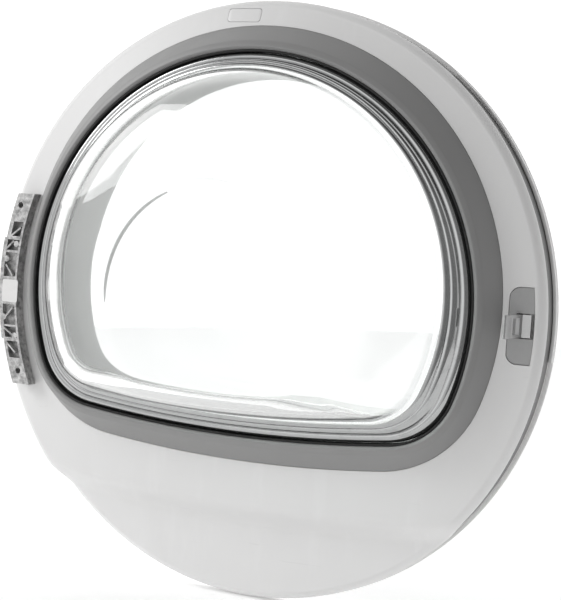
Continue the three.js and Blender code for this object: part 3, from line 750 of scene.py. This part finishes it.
def bowl_point(degrees, inset):
    """Wall of the bowl: it climbs from the rim bead and leans in to the plateau."""
    turn = math.radians(degrees)
    lean = 1 - max(0, math.cos(turn)) ** 0.85
    y = GLASS_RIM + BOWL_DEPTH * math.sin(turn) ** 1.15 - inset
    return mix(on(WINDOW, -2 - inset, y), on(PLATEAU, -inset, y), lean)


def rim_point(share, y):
    """A point of the rim's rounded steps, a share of the way from the gasket to the window."""
    return mix(on(LIP, -2.1, y), on(WINDOW, 0.2, y), share)


def build_rim():
    """The bowl's thick moulded rim, which mirrors what stands round it."""
    top = [rim_point(share, y) for share, y in RIM_STEPS]
    under = [rim_point(share * 0.96 + 0.03, y - 1.1) for share, y in RIM_STEPS]
    ring = sweep("window_rim_steps", top + under[::-1])
    install(smooth(ring, 60), DOOR, "rim_glass", slot="bowl_glass")


def shoulder_crease(mesh_object):
    """A crease inside the upper part of the plateau's edge, on the side of the hinge."""
    for vertex in mesh_object.data.vertices:
        place = (vertex.co - CENTRE) / MM
        if place.y < GLASS_RIM + 20:
            continue
        angle = math.degrees(math.atan2(place.z, place.x))
        reach = math.hypot(place.x, place.z)
        strength = max(0.0, 1 - abs(angle - CREASE_MIDDLE) / CREASE_SPREAD) ** 0.6
        edge = window_reach(PLATEAU, -CREASE_INSET, math.radians(angle))
        place.y += CREASE_HEIGHT * strength * math.exp(-(((reach - edge) / CREASE_WIDTH) ** 2))
        vertex.co = at(*place)


def build_bowl():
    top = GLASS_RIM + BOWL_DEPTH
    turns = [4 + 86 * i / 44 for i in range(45)]
    outside = [bowl_point(turn, 0) for turn in reversed(turns)]
    inside = [bowl_point(turn, GLASS_WALL) for turn in turns[::2]]
    crown_shares = (0, 0.04, 0.08, *(0.1 + 0.01 * i for i in range(18)), 0.33, 0.45, 0.6, 0.85)
    crown = [mix(on(PLATEAU, -1, top), on_circle(0.01, top + 3), share) for share in crown_shares]
    rim = [rim_point(share * 0.95 + 0.04, y - 1.4) for share, y in RIM_STEPS[1:]]
    flange = [
        on(LIP, 2.6, GLASS_SEAT + GLASS_FLANGE), on(LIP, 3, GLASS_SEAT + GLASS_FLANGE - 0.4),
        on(LIP, 3, GLASS_SEAT + 0.4), on(LIP, 2.6, GLASS_SEAT), on(LIP, -9, GLASS_SEAT),
        on(LIP, -12, 17), on(LIP, -13.4, 21), on(WINDOW, -1.4, 28), on(WINDOW, -3.6, 33),
    ]
    floor = [mix(on(PLATEAU, -1 - GLASS_WALL, top - GLASS_WALL),
                 on_circle(0.01, top + 3 - GLASS_WALL), share) for share in (0, 0.3, 0.6, 0.85)]
    section = (
        [on_circle(0, top + 3)] + crown[::-1] + outside[1:] + rim + flange + inside[:-1] + floor
        + [on_circle(0, top + 3 - GLASS_WALL)]
    )
    bowl = sweep("window_bowl", section, closed=False)
    shoulder_crease(bowl)
    install(smooth(bowl, 75), DOOR, "bowl_glass", "glass_bowl")


# ------------------------------------------------ front frame, bands, cover and grip

def wall_top(radius):
    return lambda angle: (radius, WALL_TOP - 12.8 * chin_at(FACE_EDGE, angle))


def build_front_frame():
    section = [
        wall_top(WALL), on_circle(WALL, FLANGE_BACK), on_circle(FLANGE, FLANGE_BACK),
        on_circle(FLANGE, FLANGE_FRONT), on(WINDOW, -1.5, FLANGE_FRONT), on(WINDOW, -1, -20),
        on(WINDOW, 7, -5), on(LIP, -3.4, GLASS_SEAT - 0.3), on(LIP, 3, GLASS_SEAT - 0.3),
        on(LIP, 3, 9), on(WINDOW, 10, -5), on(WINDOW, 3, -19), on(WINDOW, 5, FLANGE_BACK),
        on_circle(WALL - SKIN, FLANGE_BACK), wall_top(WALL - SKIN),
    ]
    shell = sweep("front_frame_shell", soften(section, 0.6, 2), steps=240)
    bosses = [disc(x, z, 4.6, (FLANGE_FRONT, -11.3), 20) for x, z in ARM_SCREWS]
    combine(shell, bosses, "UNION")
    cutters = [disc(x, z, 2, (-30, -15), 16) for x, z in post_places(FRAME_POSTS + COVER_POSTS)]
    cutters += [disc(x, z, 1.8, (FLANGE_BACK, 0), 16) for x, z in ARM_SCREWS]
    cutters += [disc(x, z, 1.8, (-30, -15), 16) for x, z in HOUSING_SCREWS]
    near = PIVOT_X - KNUCKLE_RADIUS
    cutters += [block("cut", (near, RIM + 5), (FLANGE_BACK - 1.3, 16), span) for span in NOTCHES]
    cutters.append(block("cut", (near - 1, PIVOT_X + KNUCKLE_RADIUS + 1), (-20.6, 0), (-51, 38)))
    combine(shell, cutters)
    install(smooth(shell, 40), DOOR, "inner_plastic", "front_frame")


def build_edge_bands():
    upper, lower = NOTCHES

    def top(radius, y=BAND_TOP):
        return lambda angle: (radius, y - CHIN_DROP * chin_at(BAND, angle))

    for name, node, span, operation in (
        ("edge_band_round", "edge_band", (lower[0], upper[1]), "DIFFERENCE"),
        ("edge_band_short", "edge_band_hinge_side", (lower[1], upper[0]), "INTERSECT"),
    ):
        section = [top(BAND), on_circle(BAND, FLANGE_BACK + 0.3), on_circle(BAND_INNER, FLANGE_BACK + 0.3),
                   top(BAND_INNER)]
        band = sweep(name, soften(section, 0.35, 2))
        combine(band, [block("cut", (PIVOT_X, RIM + 5), (-30, 16), span)], operation)
        install(smooth(band, 40), DOOR, "band_plastic", node)


def cover_point(degrees, inset):
    turn = math.radians(degrees)
    radius = (COVER - inset) * math.sin(turn) ** 0.55
    y = COVER_BACK - 2 - (COVER_DEPTH - 2) * max(0, math.cos(turn)) ** 1.1 + inset
    return on_circle(radius, y)


def build_cover():
    turns = [0.02, 0.3, 1.5, 4, 8, 13, 19, 26, 34, 42, 50, 57, 62, 66, PRINT_TURN]
    outside = [cover_point(turn, 0) for turn in turns]
    inside = [cover_point(turn, COVER_THICK) for turn in reversed(turns)]
    front, back = outside[0](0)[1], inside[-1](0)[1]
    section = [on_circle(0, front)] + outside + inside + [on_circle(0, back)]
    cover = sweep("clear_cover", section, closed=False, steps=240)
    posts = []
    for x, z in post_places(COVER_POSTS):
        post = disc(x, z, POST_RADIUS, (-32, FLANGE_FRONT - GAP), 20)
        posts.append(combine(post, [disc(x, z, POST_BORE, (-31, -20), 12)]))
    combine(cover, posts, "UNION")
    install(smooth(cover, 40), DOOR, "cover_clear", "front_cover")

    # The printed border lies on the back of the clear cover, outside the window.
    outer = [cover_point(turn, 0) for turn in (PRINT_TURN + 0.5, 74, 78, 82, 85, 88)]
    edge = [on_circle(COVER, COVER_BACK - 0.7), on_circle(COVER - 0.2, COVER_BACK - 0.2),
            on_circle(COVER - 0.7, COVER_BACK), on_circle(COVER - COVER_THICK + 0.4, COVER_BACK),
            on_circle(COVER - COVER_THICK, COVER_BACK - 0.4)]
    shell = [cover_point(turn, COVER_THICK + 0.15)
             for turn in (PRINT_TURN + 0.5, 66, 60, 54, 48, 42, 38)]
    rings = [point for point in shell if point(0)[0] > PRINT_INNER]
    behind = [on_circle(point(0)[0], point(0)[1] + 0.5) for point in rings]
    lip = [cover_point(turn, COVER_THICK + 0.6) for turn in (88, 84, 80, 76, 72)]
    printed = sweep("cover_printed_border", outer + edge + lip + behind + rings[::-1])
    combine(printed, [disc(x, z, 4.2, (-40, -20), 20) for x, z in post_places(COVER_POSTS)])
    install(smooth(printed, 40), DOOR, "border_plastic")

    y0 = FLANGE_FRONT - GAP
    y1 = y0 - BORDER_THICK
    section = [on(WINDOW, -0.5, y0), on_circle(BORDER_OUTER, y0), on_circle(BORDER_OUTER, y1),
               on(WINDOW, -0.5, y1)]
    border = sweep("window_border", soften(section, 0.4, 2))
    install(smooth(border, 40), DOOR, "border_plastic", "cover_border")


def build_grip_lip():
    """The crescent is thin at its upper tip and reaches its full width half way along."""
    outer = COVER - 0.2
    inner = []
    for i in range(41):
        share = 1 - i / 40
        angle = math.radians(GRIP_FROM + (GRIP_TO - GRIP_FROM) * share)
        radius = outer - GRIP_TIP - (GRIP_WIDTH - GRIP_TIP) * min(1, share * 2)
        inner.append((radius * math.cos(angle), radius * math.sin(angle)))
    outline = arc(0, 0, outer, GRIP_FROM, GRIP_TO, 60) + inner
    lip = prism("rim_grip_lip", outline, "y", *GRIP_Y)
    bevel(lip, 0.3)
    apply_modifiers(lip)
    install(smooth(lip, 40), DOOR, "grip_plastic", "grip_lip")


# --------------------------------------------------------------------- latch and hinge

def build_latch_plate():
    patch = prism("cut", plate_outline(0), "y", *THROUGH_FACE)
    plate = combine(frame_skin("latch_face_plate", PLATE_SUNK), [patch], "INTERSECT")
    window = rounded_rectangle(LATCH_X - 10.4, LATCH_X + 3.2, HOOK_Z[0] - 0.8, HOOK_Z[1] + 0.8, 0.8)
    combine(plate, [prism("cut", window, "y", -5, 20)])
    bevel(plate, 0.3)
    apply_modifiers(plate)
    install(smooth(plate, 40), DOOR, "plate_steel", "latch_plate")


def spring_route():
    """A straight leg, the coils round the latch pin, and another straight leg."""
    z0, z1 = HOOK_Z[1] + 1.0, HOOK_Z[1] + 5.0
    route = [at(LATCH_X + 3.0, LATCH_PIVOT_Y + 6, z0)]
    for i in range(SPRING_STEPS + 1):
        share = i / SPRING_STEPS
        turn = 2 * math.pi * SPRING_TURNS * share
        x = LATCH_X + SPRING_RADIUS * math.cos(turn)
        y = LATCH_PIVOT_Y + SPRING_RADIUS * math.sin(turn)
        route.append(at(x, y, z0 + (z1 - z0) * share))
    route.append(at(LATCH_X - SPRING_RADIUS, LATCH_PIVOT_Y - 6, z1))
    return route


def build_spring():
    route = spring_route()
    curve = bpy.data.curves.new("hook_return_spring", "CURVE")
    curve.dimensions, curve.bevel_depth, curve.bevel_resolution = "3D", SPRING_WIRE * MM, 3
    curve.use_fill_caps = True
    line = curve.splines.new("POLY")
    line.points.add(len(route) - 1)
    for point, place in zip(line.points, route):
        point.co = (*place, 1)
    shape = bpy.data.objects.new("spring_route", curve)
    bpy.context.collection.objects.link(shape)
    bpy.context.view_layer.update()
    data = bpy.data.meshes.new_from_object(shape.evaluated_get(bpy.context.evaluated_depsgraph_get()))
    bpy.data.objects.remove(shape)
    spring = add_object("hook_return_spring", data)
    install(smooth(spring, 60), DOOR, "spring_steel", "latch_spring")


def build_hinge_details():
    """Ejector-pin marks on the cast pads and a blank label on the middle pad."""
    marks = []
    for x, z, radius in PAD_MARKS:
        ring = disc(x, z, radius, (BASE_BACK - 0.4, BASE_BACK + 0.12), 40)
        bore = disc(x, z, radius - PAD_MARK_WIDTH, (BASE_BACK - 1, BASE_BACK + 1), 40)
        marks.append(combine(ring, [bore]))
    install(smooth(join("hinge_pad_marks", marks), 40), BASE, "cast_metal")

    outline = rounded_rectangle(*LABEL, LABEL_CORNER)
    label = prism("blank_label", outline, "y", BASE_BACK - 0.02, BASE_BACK + 0.14)
    install(smooth(label, 40), BASE, "label", slot="border_plastic")


def dress_nodes():
    """The pieces whose CAD shape stays get their finish; the hinge base, latch hook, hinge arm and latch
    housing also get softened edges.
    """
    slots = {part["node"]: part["material_slot"] for part in frame["record"]["subparts"]}
    edges = {"hinge_base": 0.35, "latch_hook": 0.35, "hinge_arm": 0.4, "latch_housing": 0.3}
    for name, node in frame["nodes"].items():
        if name in REBUILT:
            continue
        dress(node, slots[name])
        if name in edges:
            bevel(node, edges[name], 2, 40)


REBUILT = {
    "rear_frame", "blanking_plug", "glass_collar", "glass_gasket", "glass_bowl", "front_frame",
    "edge_band", "edge_band_hinge_side", "front_cover", "cover_border", "grip_lip", "latch_plate",
    "latch_spring",
}


# ------------------------------------------------------------------ floor and lights

def add_floor():
    low = min(COVER_LOW.z, FRAME_LOW.z)
    mesh = bmesh.new()
    bmesh.ops.create_circle(mesh, cap_ends=True, segments=96, radius=1.6)
    bmesh.ops.translate(mesh, verts=mesh.verts, vec=(CENTRE.x, CENTRE.y - 1.2, low - 0.0005))
    data = bpy.data.meshes.new("floor")
    mesh.to_mesh(data)
    mesh.free()
    floor = add_object("floor", data)
    floor.data.materials.append(floor_finish())


def add_studio():
    """White behind the door, and a dimmer room in front of it that darkens upward and to -X."""
    world = bpy.data.worlds.new("studio")
    world.use_nodes = True
    nodes = Nodes(world.node_tree)
    direction = nodes.node("ShaderNodeTexCoord", output="Generated").socket
    split = nodes.tree.nodes.new("ShaderNodeSeparateXYZ")
    nodes.tree.links.new(direction, split.inputs[0])
    x, y, z = (Value(nodes, socket) for socket in split.outputs)
    behind = (0 - y).above(0.1, 0.3)
    shade = (0 - x).above(0.35, 0.6)
    ceiling = z.above(0.62, 0.5)
    room = 0.86 - shade * 0.6
    room = room - room * ceiling * 0.85
    level = behind * (BACKGROUND - room) + room
    background = nodes.tree.nodes["Background"]
    background.inputs["Color"].default_value = (1, 1, 1, 1)
    nodes.tree.links.new(level.socket, background.inputs["Strength"])
    bpy.context.scene.world = world


def add_lights():
    bpy.context.scene.view_settings.view_transform = "Standard"
    for name, place, size, power in (
        ("softbox_key", (2.1, 1.1, 1.3), (1.4, 1.5), 36),
        ("softbox_front", (0.2, 2.6, 0.5), (2.2, 2.2), 6),
    ):
        data = bpy.data.lights.new(name, "AREA")
        data.shape, data.size, data.size_y, data.energy = "RECTANGLE", *size, power
        lamp = bpy.data.objects.new(name, data)
        lamp.location = CENTRE + Vector(place)
        lamp.rotation_mode = "QUATERNION"
        lamp.rotation_quaternion = Vector(place).to_track_quat("Z", "Y")
        bpy.context.collection.objects.link(lamp)


# ------------------------------------------------------------------------- assembly

add_camera()
make_finishes()
build_rear_frame()
build_collar()
build_gasket()
build_bowl()
build_rim()
build_front_frame()
build_edge_bands()
build_cover()
build_grip_lip()
build_latch_plate()
build_spring()
build_hinge_details()
dress_nodes()
add_floor()
add_studio()
add_lights()
